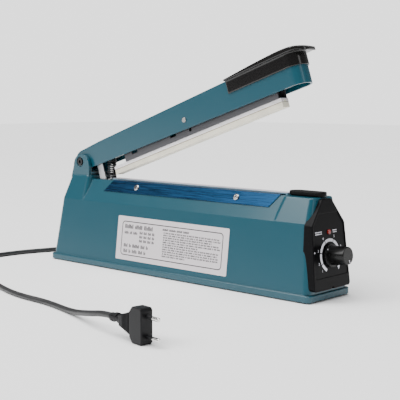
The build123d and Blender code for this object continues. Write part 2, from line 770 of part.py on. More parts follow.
# the cap slips over the arm's nose, with a flared lip round its top
cap_start, skirt_half, lip_half, lip_tip = 284.0, 16.2, 19.0, 406.0
with BuildPart() as grip_cap:
    with BuildSketch(arm_side):
        with BuildLine():
            Spline((cap_start, 23.6), (320, 25.8), (355, 27.4), (385, 27.2), (400, 23.6), (lip_tip, 18.5))
            Polyline(
                (lip_tip, 18.5), (403.5, 16.8), (396, 20), (380, 20.8), (cap_start, 20.3), (cap_start, 23.6),
            )
        make_face()
    extrude(amount=lip_half, both=True)
    with BuildSketch(arm_plan(-10)):
        with Locations(((cap_start + lip_tip - lip_half) / 2, 0)):
            Rectangle(lip_tip - lip_half - cap_start, 2 * lip_half)
        with Locations((lip_tip - lip_half, 0)):
            Circle(lip_half)
    extrude(amount=60, mode=Mode.INTERSECT)
    with BuildSketch(arm_plan(4.2)):
        with Locations(((cap_start + 1 + nose_centre) / 2, 0)):
            Rectangle(nose_centre - cap_start - 1, 2 * skirt_half)
        with Locations((nose_centre, 0)):
            Circle(skirt_half)
    extrude(amount=17)
    add(arm_outside.part, mode=Mode.SUBTRACT)
grip_cap.part.label = "grip_cap"
export_step(grip_cap.part, "parts/grip_cap.step")

with BuildPart() as switch_tongue:
    with BuildSketch(arm_side.offset(-tongue_far)):
        with BuildLine():
            Polyline(
                (tongue_start, 5), (tongue_end, 5), (tongue_end, -tongue_drop),
                (tongue_start, -tongue_drop), close=True,
            )
        make_face()
    extrude(amount=tongue_far - tongue_near)
switch_tongue.part.label = "switch_tongue"
export_step(switch_tongue.part, "parts/switch_tongue.step")

with BuildPart() as tongue_spacers:
    gap = arm_half - arm_wall + tongue_near
    for height in (0.0, -9.0):
        spacer = arm_circle((tongue_start + tongue_end) / 2, height, 2.8, tongue_near)
        extrude(spacer, amount=gap)
tongue_spacers.part.label = "tongue_spacers"
export_step(tongue_spacers.part, "parts/tongue_spacers.step")

# ---------------------------------------------------------------- press bar
bar_x0, bar_x1, bar_half, bar_wall = 78.0, seal_start + seal_length - 2, 8.0, 1.5
bar_low, bar_high = -22.5, -11.5
slot_width = 2 * pin_radius + 0.3
with BuildPart() as press_bar:
    with BuildSketch(arm_side):
        with BuildLine():
            Polyline((bar_x0, bar_low), (bar_x1, bar_low), (bar_x1, bar_high), (bar_x0, bar_high), close=True)
        make_face()
        with Locations((bar_pin_x, -8)):
            RectangleRounded(16, 18, 3)
    extrude(amount=bar_half, both=True)
    with BuildSketch(arm_side):
        with Locations(((bar_x0 + bar_x1) / 2, bar_low + bar_wall + 20)):
            Rectangle(bar_x1 - bar_x0 + 2, 40)
    extrude(amount=bar_half - bar_wall, both=True, mode=Mode.SUBTRACT)
    # slot that rides on the pin, and two windows
    with BuildSketch(arm_side):
        with Locations((bar_pin_x, bar_pin_height - bar_travel / 2)):
            SlotCenterToCenter(bar_travel, slot_width, rotation=90)
        with Locations((98.5, -14.5), (173.5, -14.5)):
            Rectangle(11, 4)
    extrude(amount=bar_half + 1, both=True, mode=Mode.SUBTRACT)
press_bar.part.label = "press_bar"
export_step(press_bar.part, "parts/press_bar.step")

holder_low, holder_high, holder_half = -26.8, bar_low, 6.5
groove_half, groove_depth = 2.2, 2.2
jaw_x0, jaw_x1 = seal_start, seal_start + seal_length
with BuildPart() as strip_holder:
    with BuildSketch(arm_plan(holder_low)):
        with Locations(((jaw_x0 + jaw_x1) / 2, 0)):
            Rectangle(seal_length, 2 * holder_half)
    extrude(amount=holder_high - holder_low)
    with BuildSketch(arm_plan(holder_low)):
        with Locations(((jaw_x0 + jaw_x1) / 2, 0)):
            Rectangle(seal_length, 2 * groove_half)
    extrude(amount=groove_depth, mode=Mode.SUBTRACT)
strip_holder.part.label = "strip_holder"
export_step(strip_holder.part, "parts/strip_holder.step")

pad_low = -33.4
with BuildPart() as silicone_strip:
    with BuildSketch(arm_plan(pad_low)):
        with Locations(((jaw_x0 + jaw_x1) / 2, 0)):
            Rectangle(seal_length, 12.4)
    extrude(amount=holder_low - pad_low)
    with BuildSketch(arm_plan(holder_low)):
        with Locations(((jaw_x0 + jaw_x1) / 2, 0)):
            Rectangle(seal_length, 2 * groove_half)
    extrude(amount=groove_depth)
silicone_strip.part.label = "silicone_strip"
export_step(silicone_strip.part, "parts/silicone_strip.step")

# ================================================================ cord and plug
cord_radius = cord_diameter / 2
wall_at_gland = wall_y(gland_z)
flange_end, relief_end = wall_at_gland + 3.0, wall_at_gland + 25.0


def gland_circle(radius, y):
    """A circle round the cord outlet's axis at y."""
    with BuildSketch(Plane(origin=(gland_x, y, gland_z), x_dir=(-1, 0, 0), z_dir=(0, 1, 0))) as circle:
        Circle(radius)
    return circle.sketch


with BuildPart() as cord_bushing:
    extrude(gland_circle(8, wall_at_gland - 2), amount=5.0)
    add(casing_outside.part, mode=Mode.SUBTRACT)
    extrude(gland_circle(gland_radius, wall_at_gland - 5), amount=8.0)
cord_bushing.part.label = "cord_bushing"
export_step(cord_bushing.part, "parts/cord_bushing.step")

with BuildPart() as strain_relief:
    loft([gland_circle(5.6, flange_end).face(), gland_circle(4.2, relief_end).face()])
strain_relief.part.label = "strain_relief"
export_step(strain_relief.part, "parts/strain_relief.step")

# coil of two layers of two turns, wound anticlockwise from its far side
coil_inner_turn, coil_outer_turn = 31.0, 37.2
stub_length = 24.0
diagonal = Vector(-sin(pi / 4), cos(pi / 4), 0)
lead_end = Vector(gland_x - 29.2, relief_end + 74.2, cord_radius)
coil_entry = lead_end + diagonal * stub_length
coil_centre = coil_entry - Vector(cos(pi / 4), sin(pi / 4), 0) * coil_outer_turn
coil_exit = coil_centre - Vector(coil_outer_turn, stub_length, 0)

plug_along = Vector(cos(radians(plug_heading)), sin(radians(plug_heading)), 0)
plug_half_height = 17.65
plug_tail = Vector(front_x - 63.0, -272.0, plug_half_height)     # where the cord enters the plug
plug_section = Plane(origin=plug_tail, x_dir=(0, 0, 1), z_dir=plug_along)
plug_face = Plane(origin=plug_tail, x_dir=plug_along, z_dir=(plug_along.Y, -plug_along.X, 0))


def cord_tube(points, name):
    """A tube along straight runs, with arcs as large as the runs allow."""
    runs = [points[i + 1] - points[i] for i in range(len(points) - 1)]
    radii = []
    for before, after in zip(runs, runs[1:]):
        half_turn = radians(before.get_angle(after)) / 2
        radii.append(0.45 * min(before.length, after.length) / tan(half_turn))
    with BuildPart() as tube:
        with BuildLine() as path:
            FilletPolyline(*points, radius=radii)
        with BuildSketch(Plane(origin=points[0], z_dir=runs[0])):
            Circle(cord_radius)
        sweep()
    length = sum(edge.length for edge in path.edges())
    expected = pi * cord_radius ** 2 * length
    print(name, "radii", [round(r) for r in radii], "length", round(length))
    print(name, "volume over section times length", round(tube.part.volume / expected, 4))
    return tube.part


lead_points = [
    Vector(gland_x, relief_end, gland_z),
    Vector(gland_x, relief_end + 24, gland_z),
    Vector(gland_x - 8, relief_end + 53, cord_radius),
    lead_end,
]
cord_lead = cord_tube(lead_points, "cord_lead")
cord_lead.label = "cord_lead"
export_step(cord_lead, "parts/cord_lead.step")

with BuildPart() as cord_coil:
    ring_inner, ring_outer = coil_inner_turn - cord_radius, coil_outer_turn + cord_radius
    with BuildSketch(Plane.XY):
        with Locations((coil_centre.X, coil_centre.Y)):
            Circle(ring_outer)
            Circle(ring_inner, mode=Mode.SUBTRACT)
    extrude(amount=2 * cord_diameter)
    for end, heading in ((lead_end, diagonal), (coil_exit, Vector(0, 1, 0))):
        with BuildSketch(Plane(origin=end, z_dir=heading)):
            Circle(cord_radius - 0.1)
        extrude(amount=stub_length)
cord_coil.part.label = "cord_coil"
export_step(cord_coil.part, "parts/cord_coil.step")

tail_points = [
    coil_exit,
    coil_exit + Vector(0, -38, 0),
    Vector(-281, 8, cord_radius),
    Vector(-300, -46, cord_radius),
    Vector(-303, -104, cord_radius),
    Vector(-276, -152, cord_radius),
    Vector(-226, -180, cord_radius),
    Vector(-168, -196, cord_radius),
    Vector(-112, -218, cord_radius),
    Vector(-56, -233, cord_radius),
    Vector(2, -234, cord_radius),
    Vector(58, -247, cord_radius),
    Vector(102, -262, 11),
    plug_tail - plug_along * 15,
    plug_tail,
]
mains_cord = cord_tube(tail_points, "mains_cord")
mains_cord.label = "mains_cord"
export_step(mains_cord, "parts/mains_cord.step")

relief_length, body_length = 20.0, 36.0
body_end = relief_length + body_length
plug_half_thickness = 6.85
with BuildPart() as plug_body:
    with BuildSketch(plug_section):
        Circle(5)
    extrude(amount=relief_length)
    with BuildSketch(plug_face):
        with BuildLine():
            Polyline(
                (relief_length, -6.5), (relief_length + 20, -12.5), (relief_length + 20, 12.5),
                (relief_length, 6.5), close=True,
            )
        make_face()
    extrude(amount=plug_half_thickness - 1, both=True)
    with BuildSketch(plug_face):
        with BuildLine():
            Polyline(
                (relief_length + 17, -12), (relief_length + 22, -17.65), (body_end - 1.5, -17.65),
                (body_end, -15), (body_end, 15), (body_end - 1.5, 17.65),
                (relief_length + 22, 17.65), (relief_length + 17, 12), close=True,
            )
        make_face()
    extrude(amount=plug_half_thickness, both=True)
plug_body.part.label = "plug_body"
export_step(plug_body.part, "parts/plug_body.step")

pin_spacing, pin_radius_plug, pin_core_radius = 19.0, 2.0, 1.5
pin_length, sleeve_length = 19.0, 10.0
with BuildPart() as plug_sleeves:
    with BuildSketch(plug_section.offset(body_end)):
        with GridLocations(pin_spacing, 1, 2, 1):
            Circle(1.9)
            Circle(pin_core_radius, mode=Mode.SUBTRACT)
    extrude(amount=sleeve_length)
plug_sleeves.part.label = "plug_sleeves"
export_step(plug_sleeves.part, "parts/plug_sleeves.step")

with BuildPart() as plug_pins:
    with BuildSketch(plug_section.offset(body_end)):
        with GridLocations(pin_spacing, 1, 2, 1):
            Circle(pin_core_radius)
    extrude(amount=sleeve_length)
    with BuildSketch(plug_section.offset(body_end + sleeve_length)):
        with GridLocations(pin_spacing, 1, 2, 1):
            Circle(pin_radius_plug)
    extrude(amount=pin_length - sleeve_length - 1)
    with BuildSketch(plug_section.offset(body_end + pin_length - 1)):
        with GridLocations(pin_spacing, 1, 2, 1):
            Circle(pin_radius_plug)
    extrude(amount=1, taper=40)
plug_pins.part.label = "plug_pins"
export_step(plug_pins.part, "parts/plug_pins.step")
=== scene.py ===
"""Looks of the impulse heat sealer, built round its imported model. Metres, in the model's own frame."""
import json
from math import atan, cos, pi, radians, sin

import bmesh
import bpy
from mathutils import Matrix, Vector


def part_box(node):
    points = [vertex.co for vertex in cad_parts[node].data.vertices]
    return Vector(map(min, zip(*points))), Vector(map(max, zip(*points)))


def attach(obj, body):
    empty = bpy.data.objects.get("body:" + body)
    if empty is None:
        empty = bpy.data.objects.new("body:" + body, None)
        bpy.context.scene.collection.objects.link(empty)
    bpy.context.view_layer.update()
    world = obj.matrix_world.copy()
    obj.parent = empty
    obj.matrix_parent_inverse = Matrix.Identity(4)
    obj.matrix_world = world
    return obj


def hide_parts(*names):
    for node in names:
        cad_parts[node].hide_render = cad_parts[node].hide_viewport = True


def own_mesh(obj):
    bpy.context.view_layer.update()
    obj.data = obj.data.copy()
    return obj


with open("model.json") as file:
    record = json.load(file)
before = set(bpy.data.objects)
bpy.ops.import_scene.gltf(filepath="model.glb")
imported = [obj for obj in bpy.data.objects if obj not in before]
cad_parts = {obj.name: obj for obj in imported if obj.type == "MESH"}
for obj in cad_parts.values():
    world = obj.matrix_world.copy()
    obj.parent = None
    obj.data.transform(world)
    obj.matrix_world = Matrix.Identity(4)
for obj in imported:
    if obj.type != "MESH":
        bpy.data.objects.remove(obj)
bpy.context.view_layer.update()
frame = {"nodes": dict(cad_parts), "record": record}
MM = 0.001


def in_mm(points):
    """Points given in millimetres, in metres."""
    return [(x * MM, y * MM) for x, y in points]


# ---------------------------------------------------------------- places taken from the model
JOINTS = {j["name"]: j for j in frame["record"]["behaviour"]["joints"]}
HINGE = Vector(JOINTS["arm_hinge"]["pos_m"])
KNOB_CENTRE = Vector(JOINTS["knob_turn"]["pos_m"])
KNOB_AXIS = Vector(JOINTS["knob_turn"]["axis"]).normalized()
ABOVE_ARM = Vector(JOINTS["press_bar_float"]["axis"]).normalized()
ALONG_ARM = Vector((ABOVE_ARM.z, 0, -ABOVE_ARM.x))
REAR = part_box("base_casing")[0].x
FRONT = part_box("base_casing")[1].x
SIDE_DRAFT = 0.12


def frame_matrix(origin, x_axis, z_axis):
    """A transform whose local X and Z follow the given directions."""
    x, z = x_axis.normalized(), z_axis.normalized()
    y = z.cross(x)
    return Matrix.Translation(origin) @ Matrix((x, y, z)).transposed().to_4x4()


PANEL = frame_matrix(KNOB_CENTRE, Vector((0, 1, 0)), KNOB_AXIS)     # local X is +Y, local Y is up
ARM = frame_matrix(HINGE, ALONG_ARM, ABOVE_ARM)                     # local Z is above the arm


# ---------------------------------------------------------------- camera
def make_camera():
    azimuth, elevation, distance = radians(42.77), radians(6.16), 1.2258
    back = Vector((sin(azimuth) * cos(elevation), -cos(azimuth) * cos(elevation), sin(elevation)))
    aim = Vector((REAR + 0.2315, 0.0200, 0.0956))
    camera = bpy.data.objects.new("camera", bpy.data.cameras.new("camera"))
    camera.data.lens = 85.5
    camera.data.sensor_width = 36
    camera.location = aim + back * distance
    camera.rotation_mode = "QUATERNION"
    camera.rotation_quaternion = (-back).to_track_quat("-Z", "Y")
    camera.data.clip_start, camera.data.clip_end = 0.05, 30
    bpy.context.collection.objects.link(camera)
    bpy.context.scene.camera = camera


make_camera()


# ---------------------------------------------------------------- materials
class Surface:
    """A procedural material: a principled shader with colour, roughness and bump detail added to it."""

    def __init__(self, name, colour, roughness, metallic=0.0, coat=0.0, edge=0.0, gloss=0.5):
        self.material = bpy.data.materials.new(name)
        self.material.use_nodes = True
        self.nodes, self.links = self.material.node_tree.nodes, self.material.node_tree.links
        self.shader = self.nodes["Principled BSDF"]
        self.colour = colour
        self.shader.inputs["Base Color"].default_value = (*colour, 1)
        self.shader.inputs["Roughness"].default_value = roughness
        self.shader.inputs["Metallic"].default_value = metallic
        self.shader.inputs["Coat Weight"].default_value = coat
        self.shader.inputs["Coat Roughness"].default_value = 0.08
        self.shader.inputs["Specular IOR Level"].default_value = gloss
        self.place = self.nodes.new("ShaderNodeTexCoord").outputs["Object"]
        self.normal = None
        if edge:
            bevel = self.nodes.new("ShaderNodeBevel")
            bevel.samples = 6
            bevel.inputs["Radius"].default_value = edge
            self.normal = bevel.outputs["Normal"]
            self.links.new(self.normal, self.shader.inputs["Normal"])

    def noise(self, scale, detail=3.0, stretch=(1, 1, 1)):
        mapping = self.nodes.new("ShaderNodeMapping")
        mapping.inputs["Scale"].default_value = stretch
        self.links.new(self.place, mapping.inputs["Vector"])
        noise = self.nodes.new("ShaderNodeTexNoise")
        noise.inputs["Scale"].default_value = scale
        noise.inputs["Detail"].default_value = detail
        self.links.new(mapping.outputs["Vector"], noise.inputs["Vector"])
        return noise.outputs["Fac"]

    def tint(self, height, amount):
        """Colour that drifts a little lighter and darker over the surface."""
        ramp = self.nodes.new("ShaderNodeMapRange")
        ramp.inputs["From Min"].default_value, ramp.inputs["From Max"].default_value = 0.3, 0.7
        ramp.inputs["To Min"].default_value, ramp.inputs["To Max"].default_value = 1 - amount, 1 + amount
        self.links.new(height, ramp.inputs["Value"])
        shade = self.nodes.new("ShaderNodeVectorMath")
        shade.operation = "SCALE"
        shade.inputs[0].default_value = self.colour
        self.links.new(ramp.outputs["Result"], shade.inputs["Scale"])
        self.links.new(shade.outputs["Vector"], self.shader.inputs["Base Color"])
        return self

    def polish(self, height, low, high):
        """Roughness that varies between two values."""
        ramp = self.nodes.new("ShaderNodeMapRange")
        ramp.inputs["From Min"].default_value, ramp.inputs["From Max"].default_value = 0.3, 0.7
        ramp.inputs["To Min"].default_value, ramp.inputs["To Max"].default_value = low, high
        self.links.new(height, ramp.inputs["Value"])
        self.links.new(ramp.outputs["Result"], self.shader.inputs["Roughness"])
        return self

    def bump(self, height, depth, strength=0.3):
        bump = self.nodes.new("ShaderNodeBump")
        bump.inputs["Strength"].default_value = strength
        bump.inputs["Distance"].default_value = depth
        self.links.new(height, bump.inputs["Height"])
        if self.normal:
            self.links.new(self.normal, bump.inputs["Normal"])
        self.normal = bump.outputs["Normal"]
        self.links.new(self.normal, self.shader.inputs["Normal"])
        return self


def moulded(name, colour, roughness, coat=0.0, edge=0.0, grain=1800, depth=0.06 * MM, drift=0.05, gloss=0.5):
    """Moulded plastic: fine spark texture, a slow drift of tone and slightly uneven gloss."""
    s = Surface(name, colour, roughness, coat=coat, edge=edge, gloss=gloss)
    s.tint(s.noise(9, 4), drift)
    s.polish(s.noise(24, 3), roughness - 0.015, roughness + 0.02)
    return s.bump(s.noise(grain, 2), depth, 0.2).material


def brushed(name, colour, roughness, stretch, metallic=1.0, edge=0.0, drift=0.10):
    """Metal with fine lines along the axis that stretch leaves small."""
    s = Surface(name, colour, roughness, metallic=metallic, edge=edge)
    lines = s.noise(900, 3, stretch)
    s.tint(lines, drift)
    s.polish(lines, roughness - 0.07, roughness + 0.10)
    return s.bump(lines, 0.02 * MM, 0.25).material


def rubbery(name, colour, roughness, grain=900, depth=0.08 * MM, edge=0.0, gloss=0.5):
    s = Surface(name, colour, roughness, edge=edge, gloss=gloss)
    s.tint(s.noise(30, 3), 0.12)
    s.polish(s.noise(120, 3), roughness - 0.05, roughness + 0.08)
    return s.bump(s.noise(grain, 3), depth, 0.3).material


def make_lens():
    s = Surface("red_lens", (0.20, 0.006, 0.004), 0.15, coat=0.4)
    s.tint(s.noise(260, 2), 0.25)
    return s.bump(s.noise(700, 1), 0.03 * MM, 0.2).material


def make_cloth():
    """Woven glass cloth with a slick coating."""
    s = Surface("nonstick_cloth", (0.74, 0.73, 0.82), 0.32, coat=0.2)
    wave = s.nodes.new("ShaderNodeTexWave")
    wave.inputs["Scale"].default_value = 420
    wave.inputs["Distortion"].default_value = 0.4
    s.links.new(s.place, wave.inputs["Vector"])
    s.tint(s.noise(40, 3), 0.05)
    return s.bump(wave.outputs["Fac"], 0.05 * MM, 0.3).material


ALONG_X = (0.03, 1, 1)
AROUND = (1, 1, 1)

MATERIALS = {
    "teal_plastic": moulded(
        "teal_plastic", (0.008, 0.062, 0.088), 0.24, coat=0.1, edge=1.4 * MM,
        depth=0.02 * MM, drift=0.012, gloss=0.4,
    ),
    "plate_steel": brushed("plate_steel", (0.52, 0.53, 0.54), 0.34, AROUND, edge=0.3 * MM),
    "black_rubber": rubbery(
        "black_rubber", (0.005, 0.005, 0.005), 0.38, grain=500, depth=0.02 * MM, edge=0.6 * MM, gloss=0.08,
    ),
    "bright_steel": brushed("bright_steel", (0.50, 0.49, 0.48), 0.16, AROUND, edge=0.3 * MM, drift=0.05),
    "insulator_board": rubbery("insulator_board", (0.16, 0.30, 0.38), 0.5),
    "ribbon_alloy": brushed("ribbon_alloy", (0.55, 0.53, 0.50), 0.3, ALONG_X),
    "brass": brushed("brass", (0.72, 0.50, 0.20), 0.28, AROUND, edge=0.2 * MM),
    "blue_anodised": brushed(
        "blue_anodised", (0.013, 0.050, 0.115), 0.27, ALONG_X, edge=0.35 * MM, drift=0.12,
    ),
    "black_panel": moulded("black_panel", (0.003, 0.003, 0.0035), 0.30, edge=0.5 * MM, gloss=0.08),
    "circuit_board": moulded("circuit_board", (0.02, 0.13, 0.05), 0.4),
    "core_steel": rubbery("core_steel", (0.10, 0.095, 0.09), 0.5),
    "coil_tape": rubbery("coil_tape", (0.55, 0.38, 0.07), 0.45),
    "switch_plastic": moulded("switch_plastic", (0.02, 0.02, 0.02), 0.45),
    "switch_button": moulded("switch_button", (0.5, 0.02, 0.02), 0.35),
    "label_film": moulded(
        "label_film", (0.62, 0.58, 0.60), 0.38, grain=2600, depth=0.02 * MM, drift=0.02,
    ),
    "nylon": moulded("nylon", (0.78, 0.77, 0.72), 0.45),
    "black_plastic": moulded("black_plastic", (0.007, 0.007, 0.008), 0.42, edge=0.4 * MM, gloss=0.3),
    "bar_steel": brushed("bar_steel", (0.10, 0.10, 0.108), 0.42, ALONG_X, metallic=0.7, edge=0.3 * MM),
    "strip_aluminium": brushed(
        "strip_aluminium", (0.90, 0.87, 0.89), 0.30, ALONG_X, metallic=0.5, edge=0.3 * MM, drift=0.05,
    ),
    "silicone": rubbery("silicone", (0.84, 0.80, 0.66), 0.55, edge=0.4 * MM),
    "knob_plastic": moulded(
        "knob_plastic", (0.003, 0.003, 0.003), 0.28, coat=0.1, edge=0.4 * MM, gloss=0.25,
    ),
    "red_lens": make_lens(),
    "nonstick_cloth": make_cloth(),
    "spring_steel": brushed("spring_steel", (0.012, 0.012, 0.013), 0.35, AROUND, metallic=0.3),
    "cord_jacket": rubbery("cord_jacket", (0.012, 0.012, 0.013), 0.42, grain=500),
    "plug_plastic": moulded("plug_plastic", (0.006, 0.006, 0.007), 0.42, edge=0.4 * MM, gloss=0.2),
    "pin_nickel": brushed("pin_nickel", (0.78, 0.77, 0.75), 0.22, AROUND, edge=0.2 * MM),
    "black_gloss": moulded(
        "black_gloss", (0.003, 0.0025, 0.0025), 0.16, coat=0.25, grain=900, depth=0.02 * MM, gloss=0.4,
    ),
    "panel_print": rubbery("panel_print", (0.74, 0.74, 0.80), 0.5),
    "label_ink": rubbery("label_ink", (0.008, 0.007, 0.008), 0.5),
    "bond": rubbery("bond", (0.20, 0.14, 0.03), 0.5),
}


def paint_cad_nodes():
    """Every carried-over node takes the material that its slot in the record names; the hinge bolt then takes
    the dark spring steel instead.
    """
    for part in frame["record"]["subparts"]:
        node = frame["nodes"][part["node"]]
        for s in node.material_slots:
            s.material = MATERIALS[part["material_slot"]]
    for s in frame["nodes"]["hinge_bolt"].material_slots:
        s.material = MATERIALS["spring_steel"]


paint_cad_nodes()


# ---------------------------------------------------------------- mesh helpers
def link_mesh(name, mesh, matrix, slot, body, smooth=True, edge_angle=35):
    """A piece in the scene, with its material, its body and its shading."""
    mesh.transform(matrix)
    piece = bpy.data.objects.new(name, mesh)
    bpy.context.collection.objects.link(piece)
    piece.data.materials.append(MATERIALS[slot])
    if smooth:
        mesh.shade_smooth()
        mesh.set_sharp_from_angle(angle=radians(edge_angle))
    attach(piece, body)
    return piece


def prism(outlines, thickness, base=0.0):
    """Closed outlines in the local XY plane, each raised by thickness from height base."""
    bm = bmesh.new()
    for outline in outlines:
        face = bm.faces.new([bm.verts.new((x, y, base)) for x, y in outline])
        raised = bmesh.ops.extrude_face_region(bm, geom=[face])
        moved = [v for v in raised["geom"] if isinstance(v, bmesh.types.BMVert)]
        bmesh.ops.translate(bm, vec=(0, 0, thickness), verts=moved)
    bmesh.ops.recalc_face_normals(bm, faces=bm.faces)
    mesh = bpy.data.meshes.new("prism")
    bm.to_mesh(mesh)
    bm.free()
    return mesh


def bevelled(piece, width, segments=3, angle=30):
    modifier = piece.modifiers.new("edges", "BEVEL")
    modifier.width, modifier.segments = width, segments
    modifier.limit_method, modifier.angle_limit = "ANGLE", radians(angle)
    modifier.harden_normals = True
    return piece


def rectangle(x0, y0, x1, y1):
    return [(x0, y0), (x1, y0), (x1, y1), (x0, y1)]


def arc(radius, start, end, steps, centre=(0, 0)):
    """Points on an arc, angles in degrees."""
    angles = [radians(start + (end - start) * i / steps) for i in range(steps + 1)]
    return [(centre[0] + radius * cos(a), centre[1] + radius * sin(a)) for a in angles]


def ring_segment(inner, outer, start, end, steps=14):
    return arc(outer, start, end, steps) + arc(inner, end, start, steps)


# ---------------------------------------------------------------- cord
CORD_DIAMETER = 6.2 * MM
FLOOR_LINE = CORD_DIAMETER / 2
PLUG_TAIL = Vector((FRONT - 0.063, -0.272, 0.01765))
PLUG_ALONG = Vector((cos(radians(-8)), sin(radians(-8)), 0))


GLAND = Vector((HINGE.x + 0.036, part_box("strain_relief")[1].y, 0.020))     # where the cord leaves the relief


def cord_route():
    """The route of the cord: out of the relief, round the coil, and along the bench to the plug."""
    gland_x, relief_end, gland_z = GLAND
    lead_end = Vector((gland_x - 0.0292, relief_end + 0.0742, FLOOR_LINE))
    lead = [
        Vector((gland_x, relief_end, gland_z)),
        Vector((gland_x, relief_end + 0.024, gland_z)),
        Vector((gland_x - 0.008, relief_end + 0.053, FLOOR_LINE)),
        lead_end,
    ]
    inner_turn, outer_turn, stub = 0.031, 0.0372, 0.024
    entry = lead_end + Vector((-sin(pi / 4), cos(pi / 4), 0)) * stub
    centre = entry - Vector((cos(pi / 4), sin(pi / 4), 0)) * outer_turn
    centre.z = 0
    turns, per_turn, first = 3.375, 16, 45
    steps = int(turns * per_turn)
    coil = []
    for i in range(steps + 1):
        share = i / steps
        turned = share * turns
        angle = radians(first + 360 * turned)
        radius, height = coil_place(turned, turns, inner_turn, outer_turn)
        coil.append(centre + Vector((radius * cos(angle), radius * sin(angle), height)))
    exit_point = centre + Vector((-outer_turn, -stub, FLOOR_LINE + CORD_DIAMETER))
    tail = [
        exit_point,
        exit_point + Vector((0, -0.038, -CORD_DIAMETER)),
        Vector((-0.281, 0.008, FLOOR_LINE)),
        Vector((-0.300, -0.046, FLOOR_LINE)),
        Vector((-0.303, -0.104, FLOOR_LINE)),
        Vector((-0.276, -0.152, FLOOR_LINE)),
        Vector((-0.226, -0.180, FLOOR_LINE)),
        Vector((-0.168, -0.196, FLOOR_LINE)),
        Vector((-0.112, -0.218, FLOOR_LINE)),
        Vector((-0.056, -0.233, FLOOR_LINE)),
        Vector((0.002, -0.234, FLOOR_LINE)),
        Vector((0.058, -0.247, FLOOR_LINE)),
        Vector((0.102, -0.262, 0.011)),
        PLUG_TAIL - PLUG_ALONG * 0.015,
        PLUG_TAIL,
    ]
    return lead + coil + tail


def coil_place(turned, turns, inner_turn, outer_turn):
    """Radius and height of the cord after some turns: in at the bottom, then up, then out on top."""
    upper = FLOOR_LINE + CORD_DIAMETER
    stops = [
        (0.0, outer_turn, FLOOR_LINE), (0.7, outer_turn, FLOOR_LINE), (1.0, inner_turn, FLOOR_LINE),
        (1.6, inner_turn, FLOOR_LINE), (1.9, inner_turn, upper), (2.4, inner_turn, upper),
        (2.7, outer_turn, upper), (turns, outer_turn, upper),
    ]
    for (t0, r0, z0), (t1, r1, z1) in zip(stops, stops[1:]):
        if turned <= t1:
            share = (turned - t0) / (t1 - t0)
            ease = share * share * (3 - 2 * share)
            return r0 + (r1 - r0) * ease, z0 + (z1 - z0) * ease
    return outer_turn, upper


def nurbs_length(curve_object):
    """Length of a curve's own line, measured with no bevel."""
    plain = curve_object.copy()
    plain.data = curve_object.data.copy()
    plain.data.bevel_depth = 0
    line = bpy.data.meshes.new_from_object(plain)
    points = [v.co.copy() for v in line.vertices]
    bpy.data.meshes.remove(line)
    bpy.data.objects.remove(plain)
    return sum((b - a).length for a, b in zip(points, points[1:]))


def make_cord():
    data = bpy.data.curves.new("mains_lead", "CURVE")
    data.dimensions = "3D"
    points = cord_route()
    spline = data.splines.new("NURBS")
    spline.points.add(len(points) - 1)
    for point, place in zip(spline.points, points):
        point.co = (*place, 1)
    spline.order_u = 3
    spline.use_endpoint_u = True
    spline.resolution_u = 6
    data.bevel_depth, data.bevel_resolution = CORD_DIAMETER / 2, 5
    data.use_fill_caps = True
    data.materials.append(MATERIALS["cord_jacket"])
    cord = bpy.data.objects.new("mains_lead", data)
    bpy.context.collection.objects.link(cord)
    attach(cord, "base")
    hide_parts("cord_lead", "cord_coil", "mains_cord")
    return cord


cord = make_cord()


# ---------------------------------------------------------------- plug
def plug_piece(name, mesh, matrix):
    return link_mesh(name, mesh, matrix, "plug_plastic", "base")


